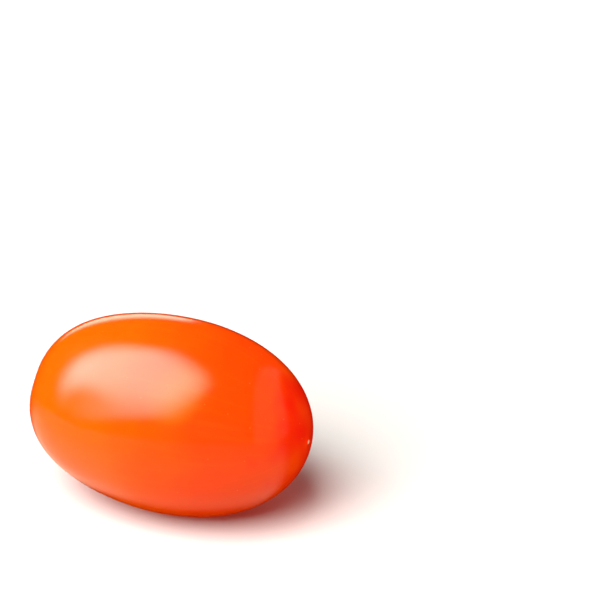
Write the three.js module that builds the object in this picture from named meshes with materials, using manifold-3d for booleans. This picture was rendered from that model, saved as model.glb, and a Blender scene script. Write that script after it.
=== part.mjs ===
// A plum tomato as picked, lying on its side with its stalk and calyx off.
// Millimetres, +Z up. X runs along the fruit, from the stem end at -X to the blossom end at +X.
// The origin is in the middle of the fruit's box, on the surface that it rests on.

import * as THREE from 'three';
import { mergeVertices } from 'three/addons/utils/BufferGeometryUtils.js';
import Module from 'manifold-3d';

// Whole fruit: pole to pole before the stem hollow is pressed in, and across its mid-length
const LENGTH = 75;
const DIAMETER = 48.9;

// Outline: the radius squared goes as (1 - u²)(1 + LEAN u + FULLNESS u² + TAPER u³),
// with u from -1 at the stem end to 1 at the blossom end
const LEAN = 0.066;
const FULLNESS = 0.19;
const TAPER = -0.105;

// Section: slightly oval, with a soft lobe over each seed chamber that fades to the blossom end
const OVAL = 0.016;
const OVAL_TURN = THREE.MathUtils.degToRad(103);
const CHAMBERS = 3;
const LOBE_RISE = 0.057;
const LOBE_TURN = THREE.MathUtils.degToRad(76);

// Bow of the middle away from the straight line between the two ends
const BOW_SIDE = -0.43;
const BOW_DOWN = -0.6;

// Stem end: a shallow hollow with faint furrows, and the corky scar that the stalk left in it
const HOLLOW_DEPTH = 2.5;
const HOLLOW_RADIUS = 5;
const FURROWS = 5;
const FURROW_SHARE = 0.13;
const SCAR_RADIUS = 2.9;
const SCAR_RISE = 0.55;
const SCAR_POINT_SHARE = 0.12;
const STALK_PIT_DEPTH = 0.5;
const STALK_PIT_RADIUS = 1;

// Blossom end: the small nib where the flower dropped off
const NIB_RISE = 0.45;
const NIB_RADIUS = 1.3;

// Underside: how far the skin gives where the fruit rests
const REST_DEPTH = 0.65;

// Mesh: sides round the fruit, rings along it, and how much closer the rings are at both ends
const SIDES = 72;
const RINGS = 48;
const END_CROWDING = 0.6;

// Radius of the plain outline at u, from -1 at the stem end to 1 at the blossom end
function outlineRadius(u) {
  const lean = 1 + LEAN * u + FULLNESS * u ** 2 + TAPER * u ** 3;
  return (DIAMETER / 2) * Math.sqrt(Math.max(0, (1 - u ** 2) * lean));
}

// How much the section stands out at u and at the angle turn, measured from +Y towards +Z
function sectionShare(u, turn) {
  const lobeRise = LOBE_RISE * (1 - u) / 2;
  return 1 + OVAL * Math.cos(2 * (turn - OVAL_TURN))
    + lobeRise * Math.cos(CHAMBERS * (turn - LOBE_TURN));
}

// A smooth bump of height 1 on the axis that has died away at about twice the radius
function bump(distance, radius) {
  return Math.exp(-((distance / radius) ** 2));
}

// How far the stem end is pressed in along the axis
function stemHollow(distance, turn) {
  const furrow = Math.cos(FURROWS * turn);
  const hollow = HOLLOW_DEPTH * bump(distance, HOLLOW_RADIUS * (1 + FURROW_SHARE * furrow));
  const scarRadius = SCAR_RADIUS * (1 + SCAR_POINT_SHARE * furrow);
  const scar = SCAR_RISE * (1 - THREE.MathUtils.smoothstep(distance, scarRadius / 2, scarRadius));
  return hollow - scar + STALK_PIT_DEPTH * bump(distance, STALK_PIT_RADIUS);
}

// The point of the skin at share of the way from stem end to blossom end, and at the angle turn
function skinPoint(share, turn) {
  const crowded = share - END_CROWDING * Math.sin(2 * Math.PI * share) / (2 * Math.PI);
  const u = -Math.cos(Math.PI * crowded);
  const radius = outlineRadius(u) * sectionShare(u, turn);
  const middle = 1 - u ** 2;
  const ends = u < 0 ? stemHollow(radius, turn) : NIB_RISE * bump(radius, NIB_RADIUS);
  return new THREE.Vector3(
    u * LENGTH / 2 + ends,
    radius * Math.cos(turn) + BOW_SIDE * middle,
    radius * Math.sin(turn) + BOW_DOWN * middle,
  );
}

// The whole skin as one closed mesh, made from a sphere whose poles are the fruit's two ends
function wholeFruit() {
  const geometry = new THREE.SphereGeometry(1, SIDES, RINGS).rotateZ(Math.PI / 2);
  geometry.deleteAttribute('normal');
  geometry.deleteAttribute('uv');
  const points = geometry.attributes.position;
  for (let i = 0; i < points.count; i++) {
    const share = Math.acos(THREE.MathUtils.clamp(-points.getX(i), -1, 1)) / Math.PI;
    const point = skinPoint(share, Math.atan2(points.getZ(i), points.getY(i)));
    points.setXYZ(i, point.x, point.y, point.z);
  }
  return mergeVertices(geometry);
}

// The closed mesh as a solid, and a solid as a mesh
function toSolid(wasm, geometry) {
  return new wasm.Manifold(new wasm.Mesh({
    numProp: 3,
    vertProperties: Float32Array.from(geometry.attributes.position.array),
    triVerts: Uint32Array.from(geometry.index.array),
  }));
}

function toGeometry(solid) {
  const mesh = solid.getMesh();
  const geometry = new THREE.BufferGeometry();
  geometry.setAttribute('position', new THREE.BufferAttribute(mesh.vertProperties, 3));
  geometry.setIndex(new THREE.BufferAttribute(mesh.triVerts, 1));
  return geometry;
}

// Takes a slice off the underside, so that the fruit rests on a small flat spot
function flattenUnderside(wasm, geometry) {
  geometry.computeBoundingBox();
  const restHeight = geometry.boundingBox.min.z + REST_DEPTH;
  const slice = new THREE.BoxGeometry(LENGTH, DIAMETER, DIAMETER);
  slice.translate(0, 0, restHeight - DIAMETER / 2);
  slice.deleteAttribute('normal');
  slice.deleteAttribute('uv');
  return toGeometry(toSolid(wasm, geometry).subtract(toSolid(wasm, mergeVertices(slice))));
}

// Moves the origin to the middle of the underside of the fruit's box
function standOnOrigin(geometry) {
  geometry.computeBoundingBox();
  const middle = geometry.boundingBox.getCenter(new THREE.Vector3());
  geometry.translate(-middle.x, -middle.y, -geometry.boundingBox.min.z);
  geometry.computeVertexNormals();
  return geometry;
}

const wasm = await Module();
wasm.setup();

const skin = new THREE.MeshStandardMaterial({ color: 0xf04a14, roughness: 0.22, metalness: 0 });
const tomato = new THREE.Mesh(standOnOrigin(flattenUnderside(wasm, wholeFruit())), skin);
tomato.name = 'tomato';

const object = new THREE.Group();
object.add(tomato);

export default object;
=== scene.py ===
"""A plum tomato as picked, lying on its side on a white table in soft studio light.

Metres, +Z up. X runs along the fruit, from the stem end at -X to the blossom end at +X.
"""

import math

import bpy
import numpy as np
from mathutils import Matrix, Vector, noise


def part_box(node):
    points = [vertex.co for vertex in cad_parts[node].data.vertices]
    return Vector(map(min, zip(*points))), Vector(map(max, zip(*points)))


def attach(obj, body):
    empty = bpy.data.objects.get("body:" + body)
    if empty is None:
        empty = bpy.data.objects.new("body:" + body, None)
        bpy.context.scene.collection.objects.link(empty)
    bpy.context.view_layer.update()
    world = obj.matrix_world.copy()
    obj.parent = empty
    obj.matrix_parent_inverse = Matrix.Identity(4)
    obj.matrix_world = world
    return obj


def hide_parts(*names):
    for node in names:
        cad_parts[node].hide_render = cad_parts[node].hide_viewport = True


bl_info = {
    "name": "Plum Tomato",
    "version": (1, 0, 0),
    "blender": (4, 5, 0),
    "location": "View3D > Sidebar > Tomato",
    "description": "Builds a ripe plum tomato and the studio table that it lies on",
    "category": "Add Mesh",
}

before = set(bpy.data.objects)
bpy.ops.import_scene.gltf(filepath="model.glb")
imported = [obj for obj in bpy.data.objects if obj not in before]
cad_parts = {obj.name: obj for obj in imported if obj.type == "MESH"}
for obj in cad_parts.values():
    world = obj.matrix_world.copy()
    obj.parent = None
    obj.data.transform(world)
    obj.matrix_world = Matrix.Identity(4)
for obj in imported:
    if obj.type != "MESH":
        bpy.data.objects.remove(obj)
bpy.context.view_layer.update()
FRUIT_LOW, FRUIT_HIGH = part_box("tomato")

MM = 0.001

# Outline: the radius squared goes as (1 - u²)(1 + LEAN u + FULLNESS u² + TAPER u³),
# with u from -1 at the stem end to 1 at the blossom end
LEAN = 0.066
FULLNESS = 0.19
TAPER = -0.105

# Section: slightly oval, with a soft lobe over each seed chamber that fades to the blossom end
OVAL = 0.016
OVAL_TURN = math.radians(103)
CHAMBERS = 3
LOBE_RISE = 0.057
LOBE_TURN = math.radians(76)

# Bow of the middle away from the straight line between the two ends
BOW_SIDE = -0.43 * MM
BOW_DOWN = -0.6 * MM

# Furrows that run into the stem hollow, and the points of the scar between them
FURROWS = 5
FURROW_SHARE = 0.13
SCAR_POINT_SHARE = 0.12
STALK_PIT_DEPTH = 0.5 * MM
STALK_PIT_RADIUS = 1.0 * MM

# How far apart two noise patterns with seeds one apart are taken, in waves
SEED_STEPS = (7.3, 3.1, 5.7)

# Cork of the stem scar: waves of its ragged edge and of its grains, each with a height, a
# spacing and a seed. Shares of the radius: how far out cork is looked for, where its edge
# fades, and where its raised ridge runs.
RAGGED_EDGE = ((0.30 * MM, 0.90 * MM, 1), (0.15 * MM, 0.35 * MM, 6))
CORK_GRAINS = ((0.07 * MM, 0.32 * MM, 3), (0.05 * MM, 0.15 * MM, 4))
CORK_REACH = 1.4
CORK_FADE = (0.86, 1.04)
RIDGE_SHARE = 0.72
RIDGE_HEIGHT = 0.16 * MM
RIDGE_WIDTH = 0.35 * MM

# Cracks that run out from the stalk's pit: how many big and small ones there are in a turn,
# how far they wander, where they run, and the stretch of their waves that is open
CRACKS = 7
SMALL_CRACKS = 17
SMALL_CRACK_SHARE = 0.6
CRACK_OPENING = (0.8, 1.5)
CRACK_DARKNESS = 0.8
CRACK_WANDER = 2.6
CRACK_WAVES = 1.1 * MM
CRACK_START = (0.5 * MM, 1.0 * MM)
CRACK_END_SHARE = 0.75
CRACK_DEPTH = 0.22 * MM
DARK_PIT_RADIUS = 0.7 * MM

# Pale skin round the scar: its reach in hollow radii, and how far its rays stand out, along
# the furrows and between them
PALE_REACH = 1.1
RAY_SHARE = 0.154
SMALL_RAY_SHARE = 0.066

# How much further the blossom end's red, partly ripening and partly painted red bounce light,
# reaches on the +Y side, as a share of half the length, and over what width it gets there
RIPER_AND_RED_BOUNCE_SIDE = 0.06
RIPER_WIDTH = 8 * MM

# Share of the blossom nib that is dry
NIB_TIP_SHARE = 0.5

# Spacing of the soft high and low places, and the height of the flat spot's soft edge
SWELL_SPACING = 14 * MM
FLAT_EDGE = 0.1 * MM

# How far the lengthwise streaks change along the fruit, as a share of how they change round it
STREAK_DRIFT = 0.12

# How much closer together the rings of the mesh are at the two ends
END_CROWDING = 0.6

# Where most of a noise pattern's values lie
NOISE_LOW = 0.3
NOISE_HIGH = 0.7

# Ripening: from where to where along the fruit the shoulder's orange turns to the middle's
# colour, and that to the blossom end's, and the blotches that shift both. The blossom end's
# deep red is partly ripening and partly painted red bounce light.
TURNING = (-0.16, 0.5)
RIPE = (0.83, 1.01)
BLOTCH_SPACING = 15 * MM
BLOTCH_SHIFT = 0.1

# Streaks and flecks: their real sizes, how strong they are, and the stretch of the pattern's
# values over which they come up. A fleck's edge is given in shares of its cell.
STREAK_WIDTH = 2 * MM
STREAK_SHARE = 0.05
STREAK_RANGE = (0.5, 0.75)
FLECK_CELL = 2.6 * MM
FLECK_SHARE = 0.15
FLECK_EDGE = (0.1, 0.04)
FLECK_CHANCE = (0.62, 0.7)

# Cork: sizes of its grains and of its darker patches, and how dark they are
GRAIN_SIZE = 0.4 * MM
GRAIN_SHARE = 0.45
GRAIN_RANGE = (0.42, 0.7)
PATCH_SIZE = 1.6 * MM
PATCH_SHARE = 0.3
PATCH_RANGE = (0.45, 0.62)
GRAIN_DEPTH = 0.12 * MM
CORK_ROUGHNESS = 0.8

# How strongly the marks on the skin show: pale skin, the cork's edge and the nib's tip
PALE_SHARE = 0.75
PALE_RANGE = (0.25, 1.0)
RIM_SHARE = 0.7
NIB_RANGE = (0.35, 0.8)

# Wax: its roughness where it is thickest and thinnest, and the dimples over the skin's cells,
# which are drawn coarser than they are, so that they show
WAX_ROUGHNESS = (0.09, 0.12)
WAX_SPACING = 4 * MM
DIMPLE_SPACING = 1.4 * MM
DIMPLE_DEPTH = 0.012 * MM

# Ways from the fruit, as the camera's right, away and up
RIGHT = (1, 0, 0)
LEFT = (-1, 0, 0)
AWAY = (0, 1, 0)
STUDIO_FRONT = (-0.44, -0.9, 0)
BACKDROP_WAY = (-0.2, 0.98, 0)
SOFTBOX_WAY = (-0.7, -0.1, 0.7)
SOFTBOX_LONG_SIDE = (0.593, -0.629, 0.503)
TOP_WAY = (-0.38, -0.5, 0.78)
FRONT_WAY = (-0.05, -0.95, 0.26)
SIDE_WAY = (0.87, -0.1, 0.48)

# Camera: width of its sensor in millimetres, and from where to where it sees, in metres
SENSOR_WIDTH = 36
CLIP_RANGE = (0.01, 20)

# Sizes of the lights and panels, and how far off they are, in metres
SOFTBOX_SIZE = (1.26, 0.92)
SOFTBOX_CLOTH_SIZE = (1.5, 1.3)
SOFTBOX_DISTANCE = 0.7
TOP_SIZE = (0.75, 0.75)
FRONT_SIZE = (1.0, 0.38)
SIDE_SIZE = (0.6, 0.4)
LIGHT_DISTANCE = 0.8
REFLECTOR_RADIUS = 0.54
REFLECTOR_DISTANCE = 0.35
TABLE_RADIUS = 4
LAYER_GAP = 0.02 * MM

# Soft edges below are given as the measure where the light is gone and where it is full.

# Acrylic: its tint, where its painted white glow comes up, in metres from the fruit, and the
# painted red glow by the fruit, which stands in for red light in the fruit's shadow, in shares
# of its outline
ACRYLIC_TINT = (1, 0.94, 0.88)
PAINTED_FAR_GLOW_EDGE = (0.06, 0.4)
PAINTED_RED_GLOW = (1, 0.05, 0.02)
PAINTED_RED_GLOW_EDGE = (2.2, 0.6)

# Painted light of the mirrored table, which is an emission: lit from the fruit's outline out,
# with painted shadow inside it, in front, and not far behind
OUTLINE_EDGE = (0.6, 0.98)
FRONT_EDGE = (-0.2, 0.1)
AWAY_EDGE = (0.11, 0.03)
# Its painted light is brighter towards the left and close by: from where to where, and its
# share elsewhere
LEFT_RANGE = (0.5, 1)
RIGHT_SHARE = 0.57
NEAR_RANGE = (0.05, 0.16)
FAR_SHARE = 0.55

# Straight edges of the softbox: the way each one faces in degrees, and how far from the middle
# in metres its light begins to fade and is gone
SOFTBOX_EDGES = (
    (-25, 0.29, 0.69),
    (22, -1.05, 2.37),
    (64, 0.27, 0.68),
    (126, 0.17, 0.44),
)
# The same for the lower edges of its bright part, and of the dim strip that is left below,
# whose light is STRIP_SHARE of the bright part's
BRIGHT_EDGES = ((180, 0.23, 0.60), (255, -0.05, 0.50))
STRIP_EDGES = ((180, -0.10, 0.46), (270, 0.38, 0.56))
STRIP_SHARE = 0.26
# Round dim patch between the two, and the round amber glow, seen flattened by AMBER_SQUASH
NOTCH_AT = (-0.24, -0.33, 0)
NOTCH_EDGE = (0.10, 0.30)
AMBER_SQUASH = (1, 0.45, 0)
AMBER_AT = (0.45, -0.05, 0)
AMBER_EDGE = (0.36, 0.05)

# Painted reflector's round edge, and the round dark red patch of painted shade over its far side
REFLECTOR_EDGE = (0.54, 0.42)
SHADE_PATCH_AT = (0.25, -0.114, 0)
SHADE_PATCH_EDGE = (0.30, 0.36)

# Backdrop: how straight behind, how far right and how high it reaches. Sweep: how straight in
# front and how high. All are shares of a way, straight along it being 1.
BACKDROP_SIDES = (0.93, 0.99)
BACKDROP_RIGHT = (0.03, -0.03)
BACKDROP_TOP = (0.42, 0.3)
SWEEP_SIDES = (0.5, 0.95)
SWEEP_TOP = (0.1, -0.03)


def linear(code):
    """An sRGB hex colour as the linear red, green and blue that the shaders take."""
    parts = [int(code[i:i + 2], 16) / 255 for i in (0, 2, 4)]
    return tuple(c / 12.92 if c <= 0.04045 else ((c + 0.055) / 1.055) ** 2.4 for c in parts)


def length_property(name, description, millimetres):
    """A length that the user can change, shown in the scene's units."""
    return bpy.props.FloatProperty(
        name=name, description=description, default=millimetres * MM,
        min=0, precision=5, unit="LENGTH", subtype="DISTANCE")


def colour_property(name, description, code):
    """A colour that the user can change, with an sRGB hex default."""
    return bpy.props.FloatVectorProperty(
        name=name, description=description, default=linear(code),
        size=3, min=0, max=1, subtype="COLOR")


def radiance_property(name, description, radiance):
    """The brightness of a light that the user can change."""
    return bpy.props.FloatProperty(name=name, description=description, default=radiance, min=0)


class FruitSizes(bpy.types.PropertyGroup):
    """Sizes of the tomato and how finely its skin is divided."""

    length: length_property("Length", "Pole to pole before the stem hollow is pressed in", 75)
    diameter: length_property("Diameter", "Across the middle of the fruit", 48.9)
    hollow_depth: length_property("Hollow depth", "How deep the stem hollow is", 2.5)
    hollow_radius: length_property("Hollow radius", "How wide the stem hollow is", 5)
    scar_radius: length_property("Scar radius", "Half the width of the corky stem scar", 2.9)
    scar_rise: length_property("Scar rise", "How far the scar stands up in its hollow", 0.55)
    nib_rise: length_property("Nib rise", "How far the blossom nib stands out", 0.45)
    nib_radius: length_property("Nib radius", "How wide the blossom nib is", 1.3)
    rest_depth: length_property("Rest depth", "How far the underside gives", 0.65)
    unevenness: length_property("Unevenness", "Soft high and low places in the skin", 0.09)
    sides: bpy.props.IntProperty(
        name="Sides", description="Faces round the fruit", default=320, min=24, max=600)
    rings: bpy.props.IntProperty(
        name="Rings", description="Faces along the fruit", default=240, min=24, max=400)


class FruitColours(bpy.types.PropertyGroup):
    """Colours of the ripe skin and of its two scars."""

    shoulder: colour_property("Shoulder", "Skin of the stem half, which ripens last", "e75601")
    middle: colour_property("Middle", "Skin halfway to the blossom end", "e74001")
    # Partly ripening and partly painted red bounce light
    blossom: colour_property("Blossom end", "Skin at the blossom end, which ripens first", "e21a02")
    streak: colour_property("Streaks", "Faint lengthwise streaks in the skin", "fb7810")
    fleck: colour_property("Flecks", "Tiny pale flecks under the skin", "ffa850")
    hollow: colour_property("Hollow", "Paler skin close to the stem scar", "e4972f")
    cork: colour_property("Cork", "Dry corky tissue of the stem scar", "a87c48")
    crack: colour_property("Cracks", "Cracks in the cork and the stalk's pit", "4a2f18")
    rim: colour_property("Rim", "Olive-brown edge of the cork", "7d5a1c")
    # The nib's pale tip is partly its dry tissue and partly a painted glint
    nib: colour_property("Nib", "Dry tip of the blossom nib", "e8b894")


class StudioSettings(bpy.types.PropertyGroup):
    """Camera, table and lights."""

    azimuth: bpy.props.FloatProperty(
        name="Azimuth", description="Camera's turn round the fruit",
        default=math.radians(24.13), subtype="ANGLE")
    elevation: bpy.props.FloatProperty(
        name="Elevation", description="Camera's height above the table",
        default=math.radians(23), subtype="ANGLE")
    distance: length_property("Distance", "From the camera to the middle of its view", 471.7)
    lens: bpy.props.FloatProperty(
        name="Lens", description="Focal length on a 36 mm wide sensor",
        default=100, min=20, max=300, unit="CAMERA")
    aim: bpy.props.FloatVectorProperty(
        name="Aim", description="Point in the middle of the camera's view",
        default=(3.75 * MM, 70.07 * MM, 29.0 * MM), size=3, subtype="XYZ", unit="LENGTH")
    key_light: radiance_property("Key light", "Softbox, as it lights the fruit", 3.4)
    top_light: radiance_property("Top light", "Softbox over the table, for the table alone", 44.0)
    front_light: radiance_property("Front light", "Low fill light under the camera", 2.25)
    side_light: radiance_property("Side light", "Low fill light on the camera's right", 3.0)
    side_colour: colour_property("Side colour", "Colour of the light on the right", "ffc4b2")
    room_light: radiance_property("Room light", "Room, as it lights the fruit", 0.5)
    key_gloss: radiance_property("Key gloss", "Softbox, as the skin mirrors it", 12.5)
    amber_gloss: radiance_property("Amber gloss", "Softbox's amber glow, as mirrored", 3.8)
    amber: colour_property("Amber", "Colour of the softbox's amber glow", "fff03c")
    # Brightness of the reflector's painted reflection
    side_gloss: radiance_property("Side gloss", "Reflector, as the skin mirrors it", 0.46)
    backdrop: radiance_property("Backdrop", "Backdrop behind the fruit, as the skin mirrors it", 2.45)
    sweep: radiance_property("Sweep", "Table's far front edge, as the skin mirrors it", 0.4)
    white_gloss: colour_property("White gloss", "Lit surfaces, as the skin mirrors them", "fffbe2")
    # Painted orange-red reflection that the skin mirrors all round, in place of walls
    painted_red_room_reflection: colour_property("Room gloss", "Walls, as the skin mirrors them", "ff5010")
    # Painted dark red shade that the skin mirrors round the lit parts of the table and the reflector
    painted_shade_gloss: colour_property("Dark gloss", "Shaded table, as the skin mirrors it", "8a1403")
    # Brightness of the painted light in the mirrored table
    table_gloss: radiance_property("Table gloss", "Lit part of the table, as the skin mirrors it", 1.04)


def smoothstep(low, high, value):
    """0 below low, 1 above high and a smooth rise between them."""
    t = np.clip((value - low) / (high - low), 0, 1)
    return t * t * (3 - 2 * t)


def bump(distance, radius):
    """A smooth bump of height 1 that has died away at about twice the radius."""
    return np.exp(-((distance / radius) ** 2))


def noise_at(points, spacing, seed):
    """Smooth noise from about -1 to 1 at each point, with the given spacing of its waves."""
    offset = Vector([seed * step for step in SEED_STEPS])
    return np.array([noise.noise(Vector(p) / spacing + offset) for p in points])


def rough_height(points, waves):
    """Height of a rough surface at each point: waves of several heights and spacings."""
    return sum(height * noise_at(points, spacing, seed) for height, spacing, seed in waves)


def outline_radius(u, sizes):
    """Radius of the plain outline at u, from -1 at the stem end to 1 at the blossom end."""
    lean = 1 + LEAN * u + FULLNESS * u ** 2 + TAPER * u ** 3
    return sizes.diameter / 2 * np.sqrt(np.maximum(0, (1 - u ** 2) * lean))


def section_share(u, turn):
    """How much the section stands out at u and at the angle turn, from +Y towards +Z."""
    lobe_rise = LOBE_RISE * (1 - u) / 2
    oval = OVAL * np.cos(2 * (turn - OVAL_TURN))
    return 1 + oval + lobe_rise * np.cos(CHAMBERS * (turn - LOBE_TURN))


def stem_hollow(distance, turn, sizes):
    """How far the stem end is pressed in along the axis."""
    furrow = np.cos(FURROWS * turn)
    hollow = sizes.hollow_depth * bump(distance, sizes.hollow_radius * (1 + FURROW_SHARE * furrow))
    scar_radius = sizes.scar_radius * (1 + SCAR_POINT_SHARE * furrow)
    scar = sizes.scar_rise * (1 - smoothstep(scar_radius / 2, scar_radius, distance))
    return hollow - scar + STALK_PIT_DEPTH * bump(distance, STALK_PIT_RADIUS)


def pale_rays(distance, turn, sizes):
    """1 by the scar and 0 out on the skin, with rays along the furrows."""
    rays = RAY_SHARE * np.cos(FURROWS * turn)
    rays = rays + SMALL_RAY_SHARE * np.cos(3 * FURROWS * turn + 1)
    return bump(distance, PALE_REACH * sizes.hollow_radius * (1 + rays))


def cork_edge(distance, turn, points, sizes):
    """1 on the corky scar and 0 on the skin, with a ragged edge between them."""
    radius = sizes.scar_radius * (1 + SCAR_POINT_SHARE * np.cos(FURROWS * turn))
    ragged = distance + rough_height(points, RAGGED_EDGE)
    return 1 - smoothstep(CORK_FADE[0] * radius, CORK_FADE[1] * radius, ragged)


def cork_cracks(distance, turn, points, sizes):
    """1 in the cracks that run out from the stalk's pit and in the pit itself, and 0 elsewhere."""
    wander = CRACK_WANDER * noise_at(points, CRACK_WAVES, seed=2)
    small = np.cos(SMALL_CRACKS * turn - 2 * wander)
    spokes = np.cos(CRACKS * turn + wander) + SMALL_CRACK_SHARE * small
    reach = smoothstep(*CRACK_START, distance)
    end = CRACK_END_SHARE * sizes.scar_radius
    reach = reach * (1 - smoothstep(end, sizes.scar_radius, distance))
    pit = bump(distance, DARK_PIT_RADIUS)
    return np.maximum(pit, CRACK_DARKNESS * reach * smoothstep(*CRACK_OPENING, spokes))


def cork_relief(distance, points, cracks, cork, sizes):
    """Height of the cork's ridges, grains and cracks above the smooth scar."""
    ridge = RIDGE_HEIGHT * bump(distance - RIDGE_SHARE * sizes.scar_radius, RIDGE_WIDTH)
    grains = rough_height(points, CORK_GRAINS)
    return cork * (ridge + grains) - CRACK_DEPTH * cracks * cork


def fruit_surface(sizes):
    """Places and marks of the skin on a grid of rings by sides, between the two poles."""
    share = np.linspace(0, 1, sizes.rings + 1)
    crowded = share - END_CROWDING * np.sin(2 * np.pi * share) / (2 * np.pi)
    turns = np.linspace(0, 2 * np.pi, sizes.sides, endpoint=False)
    u, turn = np.meshgrid(-np.cos(np.pi * crowded), turns, indexing="ij")
    radius = outline_radius(u, sizes) * section_share(u, turn)
    middle = 1 - u ** 2
    stem_side = u < 0

    flat = np.stack([u * sizes.length / 2, radius * np.cos(turn), radius * np.sin(turn)], -1)
    near_scar = stem_side & (radius < CORK_REACH * sizes.scar_radius)
    cork, cracks, relief = (np.zeros_like(u) for _ in range(3))
    at = flat[near_scar]
    cork[near_scar] = cork_edge(radius[near_scar], turn[near_scar], at, sizes)
    cracks[near_scar] = cork_cracks(radius[near_scar], turn[near_scar], at, sizes)
    relief[near_scar] = cork_relief(
        radius[near_scar], at, cracks[near_scar], cork[near_scar], sizes)

    pressed = np.where(
        stem_side,
        stem_hollow(radius, turn, sizes) - relief,
        sizes.nib_rise * bump(radius, sizes.nib_radius))
    uneven = noise_at(flat.reshape(-1, 3), SWELL_SPACING, seed=5).reshape(u.shape)
    swell = 1 + sizes.unevenness / (sizes.diameter / 2) * uneven
    places = np.stack([
        u * sizes.length / 2 + pressed,
        radius * swell * np.cos(turn) + BOW_SIDE * middle,
        radius * swell * np.sin(turn) + BOW_DOWN * middle,
    ], -1)
    marks = {
        "along": u,
        "riper_and_red_bounce": u + RIPER_AND_RED_BOUNCE_SIDE * smoothstep(0, RIPER_WIDTH, places[..., 1]),
        "hollow": np.where(stem_side, pale_rays(radius, turn, sizes), 0),
        "cork": cork,
        "rim": 4 * cork * (1 - cork),
        "crack": cracks,
        "nib": np.where(stem_side, 0, bump(radius, NIB_TIP_SHARE * sizes.nib_radius)),
    }
    grain = np.stack([np.cos(turn), np.sin(turn), STREAK_DRIFT * u], -1)
    return places, marks, grain


def flatten_underside(places, rest_depth):
    """Presses what is lower than the rest height flat, with a soft edge."""
    height = places[..., 2] - places[..., 2].min() - rest_depth
    places[..., 2] = (height + np.sqrt(height ** 2 + FLAT_EDGE ** 2)) / 2


def fit_to_frame(places):
    """Puts the skin exactly into the box that the frame gives the fruit."""
    low, high = places.min((0, 1)), places.max((0, 1))
    share = (places - low) / (high - low)
    return np.array(FRUIT_LOW) + share * (np.array(FRUIT_HIGH) - np.array(FRUIT_LOW))


def one_pole(values):
    """A grid's values as a list, with the first and the last ring as one point each."""
    tail = values.shape[2:]
    return np.concatenate([values[:1, 0], values[1:-1].reshape(-1, *tail), values[-1:, 0]])


def skin_faces(rings, sides):
    """Faces of the skin: a fan of triangles at each pole and squares between them."""
    last = 1 + (rings - 1) * sides
    faces = []
    for j in range(sides):
        k = (j + 1) % sides
        faces.append((0, 1 + k, 1 + j))
        faces.append((last, last - sides + j, last - sides + k))
    for i in range(rings - 2):
        for j in range(sides):
            k = (j + 1) % sides
            a, b = 1 + i * sides, 1 + (i + 1) * sides
            faces.append((a + j, a + k, b + k, b + j))
    return faces


def add_mark(mesh, name, values):
    """Keeps one number, or one vector, for each point of the mesh, for its material to read."""
    kind, field = ("FLOAT", "value") if values.ndim == 1 else ("FLOAT_VECTOR", "vector")
    attribute = mesh.attributes.new(name, kind, "POINT")
    attribute.data.foreach_set(field, values.astype(np.float32).ravel())


def fruit_mesh(sizes):
    """The whole skin as one closed, smooth mesh."""
    places, marks, grain = fruit_surface(sizes)
    flatten_underside(places, sizes.rest_depth)
    places = fit_to_frame(places)
    mesh = bpy.data.meshes.new("tomato_skin")
    mesh.from_pydata(one_pole(places).tolist(), [], skin_faces(sizes.rings, sizes.sides))
    for name, values in marks.items():
        add_mark(mesh, name, one_pole(values))
    add_mark(mesh, "grain", one_pole(grain))
    mesh.shade_smooth()
    return mesh


def add_node(tree, kind, inputs=None, **settings):
    """Adds a node with its settings, and gives each named input its value or its link.

    A link comes from a socket, or from a node by way of its first output that is in use.
    """
    node = tree.nodes.new(kind)
    for name, value in settings.items():
        setattr(node, name, value)
    for name, value in (inputs or {}).items():
        if isinstance(value, bpy.types.Node):
            value = next(socket for socket in value.outputs if socket.enabled)
        if isinstance(value, bpy.types.NodeSocket):
            tree.links.new(value, node.inputs[name])
        else:
            node.inputs[name].default_value = value
    return node


def new_material(name):
    """An empty material, its nodes and the socket that gives a place on its object."""
    material = bpy.data.materials.new(name)
    material.use_nodes = True
    tree = material.node_tree
    tree.nodes.clear()
    return material, tree, add_node(tree, "ShaderNodeTexCoord").outputs["Object"]


def opaque(colour):
    """A colour with the alpha that a node's input takes. A colour made by a node stays as it is."""
    return colour if isinstance(colour, bpy.types.Node) else (*colour, 1)


def painted(tree, base, *coats):
    """A base colour with coats of other colours over it, each with the share that it covers."""
    colour = opaque(base)
    for share, coat in coats:
        colour = add_node(
            tree, "ShaderNodeMix", {0: share, 6: colour, 7: opaque(coat)}, data_type="RGBA")
    return colour


def soft_share(tree, share, *edges):
    """A share that goes down to 0 over soft edges.

    Each edge is something measured, its value where the share is gone and where it is full.
    """
    for measure, gone, full in edges:
        left = add_node(
            tree, "ShaderNodeMapRange", {"Value": measure, "From Min": gone, "From Max": full},
            interpolation_type="SMOOTHSTEP")
        share = add_node(tree, "ShaderNodeMath", {0: left, 1: share}, operation="MULTIPLY")
    return share


def ripening(tree, at, marks):
    """Shares of the middle's and of the blossom end's colour, made uneven by soft blotches.

    The blossom end's red is partly ripening and partly painted red bounce light.
    """
    waves = add_node(
        tree, "ShaderNodeTexNoise", {"Vector": at, "Scale": 1 / BLOTCH_SPACING, "Detail": 2})
    blotches = add_node(tree, "ShaderNodeMapRange", {
        "Value": waves, "From Min": NOISE_LOW, "From Max": NOISE_HIGH,
        "To Min": -BLOTCH_SHIFT, "To Max": BLOTCH_SHIFT})
    along, riper_and_red_bounce = (
        add_node(tree, "ShaderNodeMath", {0: marks[name], 1: blotches}, operation="ADD")
        for name in ("along", "riper_and_red_bounce"))
    turning = add_node(
        tree, "ShaderNodeMapRange",
        {"Value": along, "From Min": TURNING[0], "From Max": TURNING[1]})
    return turning, soft_share(tree, 1.0, (riper_and_red_bounce, *RIPE))


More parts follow.
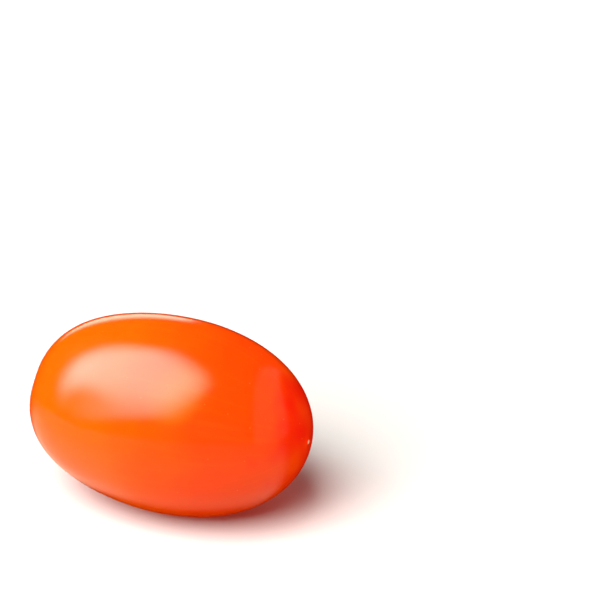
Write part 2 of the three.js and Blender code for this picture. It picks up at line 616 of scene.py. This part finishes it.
def streak_share(tree, radius):
    """Faint streaks that run from end to end, over the veins in the flesh."""
    grain = add_node(tree, "ShaderNodeAttribute", attribute_name="grain").outputs["Vector"]
    streaks = add_node(
        tree, "ShaderNodeTexNoise",
        {"Vector": grain, "Scale": radius / STREAK_WIDTH, "Detail": 3})
    return soft_share(tree, STREAK_SHARE, (streaks, *STREAK_RANGE))


def fleck_share(tree, at):
    """Pale flecks about 0.3 mm wide, in about a third of the cells."""
    cells = add_node(tree, "ShaderNodeTexVoronoi", {"Vector": at, "Scale": 1 / FLECK_CELL})
    drawn = add_node(tree, "ShaderNodeSeparateColor", {"Color": cells.outputs["Color"]})
    return soft_share(
        tree, FLECK_SHARE,
        (cells.outputs["Distance"], *FLECK_EDGE),
        (drawn.outputs["Red"], *FLECK_CHANCE))


def dry_cork(tree, at, grains, crack, colours):
    """Dry corky tissue: brown, with darker grains, patches and cracks."""
    patches = add_node(
        tree, "ShaderNodeTexNoise", {"Vector": at, "Scale": 1 / PATCH_SIZE, "Detail": 2})
    mottled = add_node(tree, "ShaderNodeMath", {
        0: soft_share(tree, GRAIN_SHARE, (grains, *GRAIN_RANGE)),
        1: soft_share(tree, PATCH_SHARE, (patches, *PATCH_RANGE)),
    }, operation="ADD")
    dark = add_node(tree, "ShaderNodeMath", {0: crack, 1: mottled}, operation="MAXIMUM")
    return painted(tree, colours.cork, (dark, colours.crack))


def wax_relief(tree, at, grains, cork):
    """Shallow dimples in the wax, and the grains of the cork where the skin is cork."""
    cells = add_node(
        tree, "ShaderNodeTexNoise", {"Vector": at, "Scale": 1 / DIMPLE_SPACING, "Detail": 2})
    dimples = add_node(
        tree, "ShaderNodeBump", {"Height": cells, "Distance": DIMPLE_DEPTH, "Strength": 1.0})
    cork_height = add_node(tree, "ShaderNodeMath", {0: grains, 1: cork}, operation="MULTIPLY")
    return add_node(tree, "ShaderNodeBump", {
        "Height": cork_height, "Distance": GRAIN_DEPTH, "Strength": 1.0, "Normal": dimples})


def waxy_tomato_skin(colours, radius):
    """Ripe tomato skin: grown, smooth and covered by a thin clear wax.

    The wax gives crisp, bright reflections, and the moist flesh under it a soft deep glow.
    The stem scar and the nib's tip are dry cork, which is matt and rough.
    """
    material, tree, at = new_material("waxy_tomato_skin")
    marks = {
        name: add_node(tree, "ShaderNodeAttribute", attribute_name=name).outputs["Fac"]
        for name in ("along", "riper_and_red_bounce", "hollow", "cork", "rim", "crack", "nib")
    }
    grains = add_node(
        tree, "ShaderNodeTexNoise", {"Vector": at, "Scale": 1 / GRAIN_SIZE, "Detail": 3})
    turning, ripe = ripening(tree, at, marks)
    rim = add_node(tree, "ShaderNodeMath", {0: marks["rim"], 1: RIM_SHARE}, operation="MULTIPLY")
    colour = painted(
        tree, colours.shoulder,
        (turning, colours.middle),
        # The blossom end's red is partly painted red bounce light
        (ripe, colours.blossom),
        (streak_share(tree, radius), colours.streak),
        (fleck_share(tree, at), colours.fleck),
        (soft_share(tree, PALE_SHARE, (marks["hollow"], *PALE_RANGE)), colours.hollow),
        (marks["cork"], dry_cork(tree, at, grains, marks["crack"], colours)),
        (rim, colours.rim),
        # Pale nib tip: dry tissue, and partly a painted glint
        (soft_share(tree, 1.0, (marks["nib"], *NIB_RANGE)), colours.nib),
    )

    patches = add_node(
        tree, "ShaderNodeTexNoise", {"Vector": at, "Scale": 1 / WAX_SPACING, "Detail": 3})
    wax = add_node(tree, "ShaderNodeMapRange", {
        "Value": patches, "From Min": NOISE_LOW, "From Max": NOISE_HIGH,
        "To Min": WAX_ROUGHNESS[0], "To Max": WAX_ROUGHNESS[1]})
    rough = add_node(tree, "ShaderNodeMix", {0: marks["cork"], 2: wax, 3: CORK_ROUGHNESS})
    shader = add_node(tree, "ShaderNodeBsdfPrincipled", {
        "Base Color": colour,
        "Roughness": rough,
        "Normal": wax_relief(tree, at, grains, marks["cork"]),
        "IOR": 1.42,
        "Subsurface Weight": 0.3,
        "Subsurface Radius": (1.0, 0.25, 0.08),
        "Subsurface Scale": 3 * MM,
    }, subsurface_method="RANDOM_WALK")
    add_node(tree, "ShaderNodeOutputMaterial", {"Surface": shader})
    return material


def turned(way, azimuth):
    """A way given as the camera's right, away and up, in the fruit's frame."""
    right, away, up = way
    c, s = math.cos(azimuth), math.sin(azimuth)
    return Vector((right * c - away * s, right * s + away * c, up))


def scaled(colour, share):
    """A colour made brighter or darker, with its tint kept."""
    return tuple(part * share for part in colour)


def outline_share(tree, at):
    """How far out a place on the table is, from 0 in the middle to 1 at the fruit's outline."""
    half = (FRUIT_HIGH - FRUIT_LOW) / 2
    shares = add_node(
        tree, "ShaderNodeVectorMath", {0: at, 1: (1 / half.x, 1 / half.y, 0)},
        operation="MULTIPLY")
    return add_node(tree, "ShaderNodeVectorMath", {0: shares}, operation="LENGTH")


def share_along(tree, at, way):
    """How far a place lies towards a way: 1 straight along it and 0 beside it."""
    unit = add_node(tree, "ShaderNodeVectorMath", {0: at}, operation="NORMALIZE")
    return add_node(tree, "ShaderNodeVectorMath", {0: unit, 1: way}, operation="DOT_PRODUCT")


def white_acrylic(name, whiteness, painted_far_glow, painted_red_glow):
    """Cast white acrylic with a painted glow: far from the fruit it glows white, so that the far
    table is white and the fruit's shadow fades out there.

    Close to the fruit it glows faintly red: painted red bounce light in the fruit's shadow.
    """
    material, tree, at = new_material(name)
    reach = add_node(tree, "ShaderNodeVectorMath", {0: at}, operation="LENGTH")
    shader = add_node(
        tree, "ShaderNodeBsdfDiffuse", {"Color": opaque(scaled(ACRYLIC_TINT, whiteness))})
    # Painted glows, not lamps: white far from the fruit, and red by it in the fruit's shadow
    for colour, glow in (
        ((1, 1, 1), soft_share(tree, painted_far_glow, (reach, *PAINTED_FAR_GLOW_EDGE))),
        (PAINTED_RED_GLOW, soft_share(tree, painted_red_glow, (outline_share(tree, at), *PAINTED_RED_GLOW_EDGE))),
    ):
        light = add_node(
            tree, "ShaderNodeEmission", {"Color": opaque(colour), "Strength": glow})
        shader = add_node(tree, "ShaderNodeAddShader", {0: shader, 1: light})
    add_node(tree, "ShaderNodeOutputMaterial", {"Surface": shader})
    return material


def painted_table_reflection(studio):
    """The table as the skin mirrors it, a painted reflection: an emission drawn lit in front and
    brightest on the left, with painted shadow under the fruit and dark red behind.
    """
    material, tree, at = new_material("painted_table_reflection")
    reach = add_node(tree, "ShaderNodeVectorMath", {0: at}, operation="LENGTH")
    away = add_node(
        tree, "ShaderNodeVectorMath", {0: at, 1: turned(AWAY, studio.azimuth)},
        operation="DOT_PRODUCT")
    front = share_along(tree, at, turned(STUDIO_FRONT, studio.azimuth))
    left = share_along(tree, at, turned(LEFT, studio.azimuth))
    lit = soft_share(
        tree, 1.0,
        (outline_share(tree, at), *OUTLINE_EDGE), (front, *FRONT_EDGE), (away, *AWAY_EDGE))
    level = studio.table_gloss
    for measure, (low, high), low_share, high_share in (
        (left, LEFT_RANGE, RIGHT_SHARE, 1),
        (reach, NEAR_RANGE, 1, FAR_SHARE),
    ):
        share = add_node(tree, "ShaderNodeMapRange", {
            "Value": measure, "From Min": low, "From Max": high,
            "To Min": low_share, "To Max": high_share}, interpolation_type="SMOOTHSTEP")
        level = add_node(tree, "ShaderNodeMath", {0: share, 1: level}, operation="MULTIPLY")
    white = add_node(
        tree, "ShaderNodeVectorMath", {0: studio.white_gloss, "Scale": level}, operation="SCALE")
    colour = painted(tree, studio.painted_shade_gloss, (lit, white))
    light = add_node(tree, "ShaderNodeEmission", {"Color": colour})
    add_node(tree, "ShaderNodeOutputMaterial", {"Surface": light})
    return material


def inside_edges(tree, at, share, edges):
    """A share that goes down to 0 over some of the softbox's straight edges."""
    for degrees, full, gone in edges:
        way = (math.cos(math.radians(degrees)), math.sin(math.radians(degrees)), 0)
        out = add_node(tree, "ShaderNodeVectorMath", {0: at, 1: way}, operation="DOT_PRODUCT")
        share = soft_share(tree, share, (out, gone, full))
    return share


def softbox_cloth(studio):
    """White nylon over an octagonal softbox, as the skin mirrors it.

    It has soft edges, a dim strip low down and an amber glow in its right part.
    """
    material, tree, at = new_material("softbox_cloth")
    notch = add_node(tree, "ShaderNodeVectorMath", {0: at, 1: NOTCH_AT}, operation="DISTANCE")
    bright = inside_edges(tree, at, soft_share(tree, 1.0, (notch, *NOTCH_EDGE)), BRIGHT_EDGES)
    strip = inside_edges(tree, at, STRIP_SHARE, STRIP_EDGES)
    both = add_node(tree, "ShaderNodeMix", {0: bright, 2: strip, 3: 1.0})
    level = add_node(
        tree, "ShaderNodeMath", {0: both, 1: studio.key_gloss}, operation="MULTIPLY")
    white = add_node(
        tree, "ShaderNodeEmission", {"Strength": inside_edges(tree, at, level, SOFTBOX_EDGES)})

    squashed = add_node(
        tree, "ShaderNodeVectorMath", {0: at, 1: AMBER_SQUASH}, operation="MULTIPLY")
    off = add_node(
        tree, "ShaderNodeVectorMath", {0: squashed, 1: AMBER_AT}, operation="DISTANCE")
    amber = add_node(tree, "ShaderNodeEmission", {
        "Color": opaque(studio.amber),
        "Strength": soft_share(tree, studio.amber_gloss, (off, *AMBER_EDGE))})
    light = add_node(tree, "ShaderNodeAddShader", {0: white, 1: amber})
    add_node(tree, "ShaderNodeOutputMaterial", {"Surface": light})
    return material


def painted_reflector(studio):
    """Painted reflection of white cloth on a round reflector: an emission with soft edges, and a
    dark red patch of painted shade over its far side.
    """
    material, tree, at = new_material("painted_reflector")
    reach = add_node(tree, "ShaderNodeVectorMath", {0: at}, operation="LENGTH")
    # Dark red patch of painted shade over the reflector's far side
    card = add_node(tree, "ShaderNodeVectorMath", {0: at, 1: SHADE_PATCH_AT}, operation="DISTANCE")
    lit = soft_share(tree, 1.0, (reach, *REFLECTOR_EDGE), (card, *SHADE_PATCH_EDGE))
    white = scaled(studio.white_gloss, studio.side_gloss)
    colour = painted(tree, studio.painted_shade_gloss, (lit, white))
    light = add_node(tree, "ShaderNodeEmission", {"Color": colour})
    add_node(tree, "ShaderNodeOutputMaterial", {"Surface": light})
    return material


def add_object(name, data):
    """Links an object that holds the mesh, light or camera to the scene."""
    thing = bpy.data.objects.new(name, data)
    bpy.context.scene.collection.objects.link(thing)
    return thing


def aim_panel(thing, way, distance, long_side):
    """Puts a panel off in a way, facing the fruit, with its X along long_side."""
    centre = (FRUIT_LOW + FRUIT_HIGH) / 2
    out = way.normalized()
    x_axis = (long_side - out * long_side.dot(out)).normalized()
    y_axis = out.cross(x_axis)
    thing.location = centre + out * distance
    thing.rotation_mode = "QUATERNION"
    thing.rotation_quaternion = Matrix((x_axis, y_axis, out)).transposed().to_quaternion()


def add_light(name, size, radiance, colour=(1, 1, 1)):
    """A rectangular soft light that neither the camera nor a reflection shows."""
    data = bpy.data.lights.new(name, "AREA")
    data.shape = "RECTANGLE"
    data.size, data.size_y = size
    data.energy = radiance * size[0] * size[1] * math.pi
    data.color = colour
    light = add_object(name, data)
    light.visible_camera = False
    light.visible_glossy = False
    return light


def link_light(light, layers, state):
    """Makes the light fall on these layers of the table alone, or on all but these."""
    group = bpy.data.collections.new(f"{light.name}_{state.lower()}")
    for layer in layers:
        group.objects.link(layer)
    for entry in group.collection_objects:
        entry.light_linking.link_state = state
    light.light_linking.receiver_collection = group


def panel_mesh(name, size):
    """A flat rectangle in its own XY plane."""
    x, y = size[0] / 2, size[1] / 2
    mesh = bpy.data.meshes.new(name)
    mesh.from_pydata([(-x, -y, 0), (x, -y, 0), (x, y, 0), (-x, y, 0)], [], [(0, 1, 2, 3)])
    return mesh


def disc_mesh(name, radius):
    """A flat round disc in its own XY plane."""
    sides = 96
    turns = [2 * math.pi * i / sides for i in range(sides)]
    mesh = bpy.data.meshes.new(name)
    mesh.from_pydata(
        [(radius * math.cos(t), radius * math.sin(t), 0) for t in turns],
        [], [tuple(range(sides))])
    return mesh


def show_only_in_gloss(thing):
    """The panel is seen mirrored in glossy surfaces and nowhere else."""
    thing.visible_camera = False
    thing.visible_diffuse = False
    thing.visible_shadow = False
    thing.visible_transmission = False


def add_camera(studio):
    """The camera at the photograph's viewing angle."""
    camera = add_object("camera", bpy.data.cameras.new("camera"))
    camera.data.lens = studio.lens
    camera.data.sensor_width = SENSOR_WIDTH
    camera.data.clip_start, camera.data.clip_end = CLIP_RANGE
    a, e = studio.azimuth, studio.elevation
    back = Vector((math.sin(a) * math.cos(e), -math.cos(a) * math.cos(e), math.sin(e)))
    camera.location = Vector(studio.aim) + back * studio.distance
    camera.rotation_mode = "QUATERNION"
    camera.rotation_quaternion = (-back).to_track_quat("-Z", "Y")
    bpy.context.scene.camera = camera


def add_table(studio):
    """A round white table top just under the fruit, in three layers for three kinds of ray.

    The camera sees the first one. The fruit catches the light of the second and mirrors the
    third, which are darker copies of the table: painted shade that keeps the skin's colour deep.
    The third is a painted reflection, whose light and shade are drawn into it.
    """
    # Only the camera's layer carries the painted red glow by the fruit
    white = white_acrylic("white_acrylic", whiteness=0.18, painted_far_glow=1.0, painted_red_glow=0.24)
    # Darker copy of the acrylic, painted shade: the fruit's light from below comes from it
    shaded = white_acrylic("shaded_acrylic", whiteness=0.62, painted_far_glow=0.62, painted_red_glow=0.0)
    layers = []
    for name, material, rays in (
        ("table", white, "visible_camera"),
        ("table_bounce", shaded, "visible_diffuse"),
        ("table_gloss", painted_table_reflection(studio), "visible_glossy"),
    ):
        layer = add_object(name, disc_mesh(name, TABLE_RADIUS))
        layer.data.materials.append(material)
        layer.location.z = -LAYER_GAP * (1 + len(layers))
        for kind in ("visible_camera", "visible_diffuse", "visible_glossy"):
            setattr(layer, kind, kind == rays)
        layer.visible_shadow = False
        layer.visible_transmission = False
        layers.append(layer)
    return layers


def add_key(studio, table):
    """A big softbox up on the camera's left, once as light and once as what the skin mirrors."""
    way = turned(SOFTBOX_WAY, studio.azimuth)
    long_side = turned(SOFTBOX_LONG_SIDE, studio.azimuth)
    light = add_light("key_light", SOFTBOX_SIZE, studio.key_light)
    aim_panel(light, way, SOFTBOX_DISTANCE, long_side)
    link_light(light, table[:1], "EXCLUDE")
    panel = add_object("key_gloss", panel_mesh("key_gloss", SOFTBOX_CLOTH_SIZE))
    panel.data.materials.append(softbox_cloth(studio))
    aim_panel(panel, way, SOFTBOX_DISTANCE, long_side)
    show_only_in_gloss(panel)


def add_fill(name, studio, table, way, size, radiance, colour=(1, 1, 1)):
    """A big soft light low on one side, flagged off the table, so that shadows there stay deep."""
    light = add_light(name, size, radiance, colour)
    across = turned((-way[1], way[0], 0), studio.azimuth)
    aim_panel(light, turned(way, studio.azimuth), LIGHT_DISTANCE, across)
    link_light(light, table, "EXCLUDE")


def add_top_light(studio, table):
    """A softbox over the table, for the table alone, which keeps the fruit's shadow compact."""
    light = add_light("top_light", TOP_SIZE, studio.top_light)
    across = turned(RIGHT, studio.azimuth)
    aim_panel(light, turned(TOP_WAY, studio.azimuth), LIGHT_DISTANCE, across)
    link_light(light, table[:1], "INCLUDE")


def add_reflector(studio):
    """A big round reflector on the camera's right, which only the skin's gloss shows, as a painted
    reflection that glows.
    """
    disc = add_object("side_gloss", disc_mesh("side_gloss", REFLECTOR_RADIUS))
    disc.data.materials.append(painted_reflector(studio))
    right, away = (turned(way, studio.azimuth) for way in (RIGHT, AWAY))
    aim_panel(disc, right, REFLECTOR_DISTANCE, away)
    show_only_in_gloss(disc)


def add_room(studio):
    """The room: white to the camera and dim light on the fruit.

    The skin mirrors it as a painted reflection: orange-red all round in place of walls, with a
    lit backdrop behind and the table's lit sweep in front.
    """
    world = bpy.data.worlds.new("room")
    bpy.context.scene.world = world
    world.use_nodes = True
    tree = world.node_tree
    tree.nodes.clear()
    way = add_node(tree, "ShaderNodeTexCoord").outputs["Generated"]
    height = add_node(tree, "ShaderNodeSeparateXYZ", {"Vector": way}).outputs["Z"]
    behind, right, front = (
        share_along(tree, way, turned(side, studio.azimuth))
        for side in (BACKDROP_WAY, RIGHT, STUDIO_FRONT))
    backdrop = soft_share(
        tree, 1.0,
        (behind, *BACKDROP_SIDES), (right, *BACKDROP_RIGHT), (height, *BACKDROP_TOP))
    sweep = soft_share(tree, 1.0, (front, *SWEEP_SIDES), (height, *SWEEP_TOP))
    # Painted reflection: orange-red all round, with the backdrop and the sweep
    mirrored = painted(
        tree, studio.painted_red_room_reflection,
        (backdrop, scaled(studio.white_gloss, studio.backdrop)),
        (sweep, scaled(studio.white_gloss, studio.sweep)))
    path = add_node(tree, "ShaderNodeLightPath").outputs
    seen = painted(
        tree, scaled((1, 1, 1), studio.room_light),
        (path["Is Glossy Ray"], mirrored),
        (path["Is Camera Ray"], (1, 1, 1)))
    light = add_node(tree, "ShaderNodeBackground", {"Color": seen})
    add_node(tree, "ShaderNodeOutputWorld", {"Surface": light})


class TOMATO_OT_add_fruit(bpy.types.Operator):
    """Adds the tomato, in place of the frame's plain solid."""

    bl_idname = "tomato.add_fruit"
    bl_label = "Add Fruit"

    def execute(self, context):
        sizes, colours = context.scene.tomato_sizes, context.scene.tomato_colours
        fruit = add_object("plum_tomato", fruit_mesh(sizes))
        fruit.data.materials.append(waxy_tomato_skin(colours, sizes.diameter / 2))
        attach(fruit, "root")
        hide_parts("tomato")
        return {"FINISHED"}


class TOMATO_OT_add_studio(bpy.types.Operator):
    """Adds the camera, the table, the lights and the room."""

    bl_idname = "tomato.add_studio"
    bl_label = "Add Studio"

    def execute(self, context):
        studio = context.scene.tomato_studio
        context.scene.view_settings.view_transform = "Standard"
        add_camera(studio)
        table = add_table(studio)
        add_key(studio, table)
        add_top_light(studio, table)
        add_fill("front_light", studio, table, FRONT_WAY, FRONT_SIZE, studio.front_light)
        add_fill(
            "side_light", studio, table, SIDE_WAY, SIDE_SIZE, studio.side_light,
            studio.side_colour)
        add_reflector(studio)
        add_room(studio)
        return {"FINISHED"}


class TOMATO_PT_panel(bpy.types.Panel):
    """Lists the tomato's operators and settings in the sidebar."""

    bl_idname = "TOMATO_PT_panel"
    bl_label = "Plum Tomato"
    bl_space_type = "VIEW_3D"
    bl_region_type = "UI"
    bl_category = "Tomato"

    def draw(self, context):
        scene = context.scene
        for operator, groups in (
            (TOMATO_OT_add_fruit, (scene.tomato_sizes, scene.tomato_colours)),
            (TOMATO_OT_add_studio, (scene.tomato_studio,)),
        ):
            box = self.layout.box()
            box.operator(operator.bl_idname)
            for group in groups:
                for name in group.__annotations__:
                    box.prop(group, name)


CLASSES = (
    FruitSizes, FruitColours, StudioSettings,
    TOMATO_OT_add_fruit, TOMATO_OT_add_studio, TOMATO_PT_panel,
)
GROUPS = {
    "tomato_sizes": FruitSizes,
    "tomato_colours": FruitColours,
    "tomato_studio": StudioSettings,
}


def register():
    for item in CLASSES:
        bpy.utils.register_class(item)
    for name, group in GROUPS.items():
        setattr(bpy.types.Scene, name, bpy.props.PointerProperty(type=group))


def unregister():
    for name in GROUPS:
        delattr(bpy.types.Scene, name)
    for item in reversed(CLASSES):
        bpy.utils.unregister_class(item)


def main():
    register()
    bpy.ops.tomato.add_studio()
    bpy.ops.tomato.add_fruit()


if __name__ == "__main__":
    main()
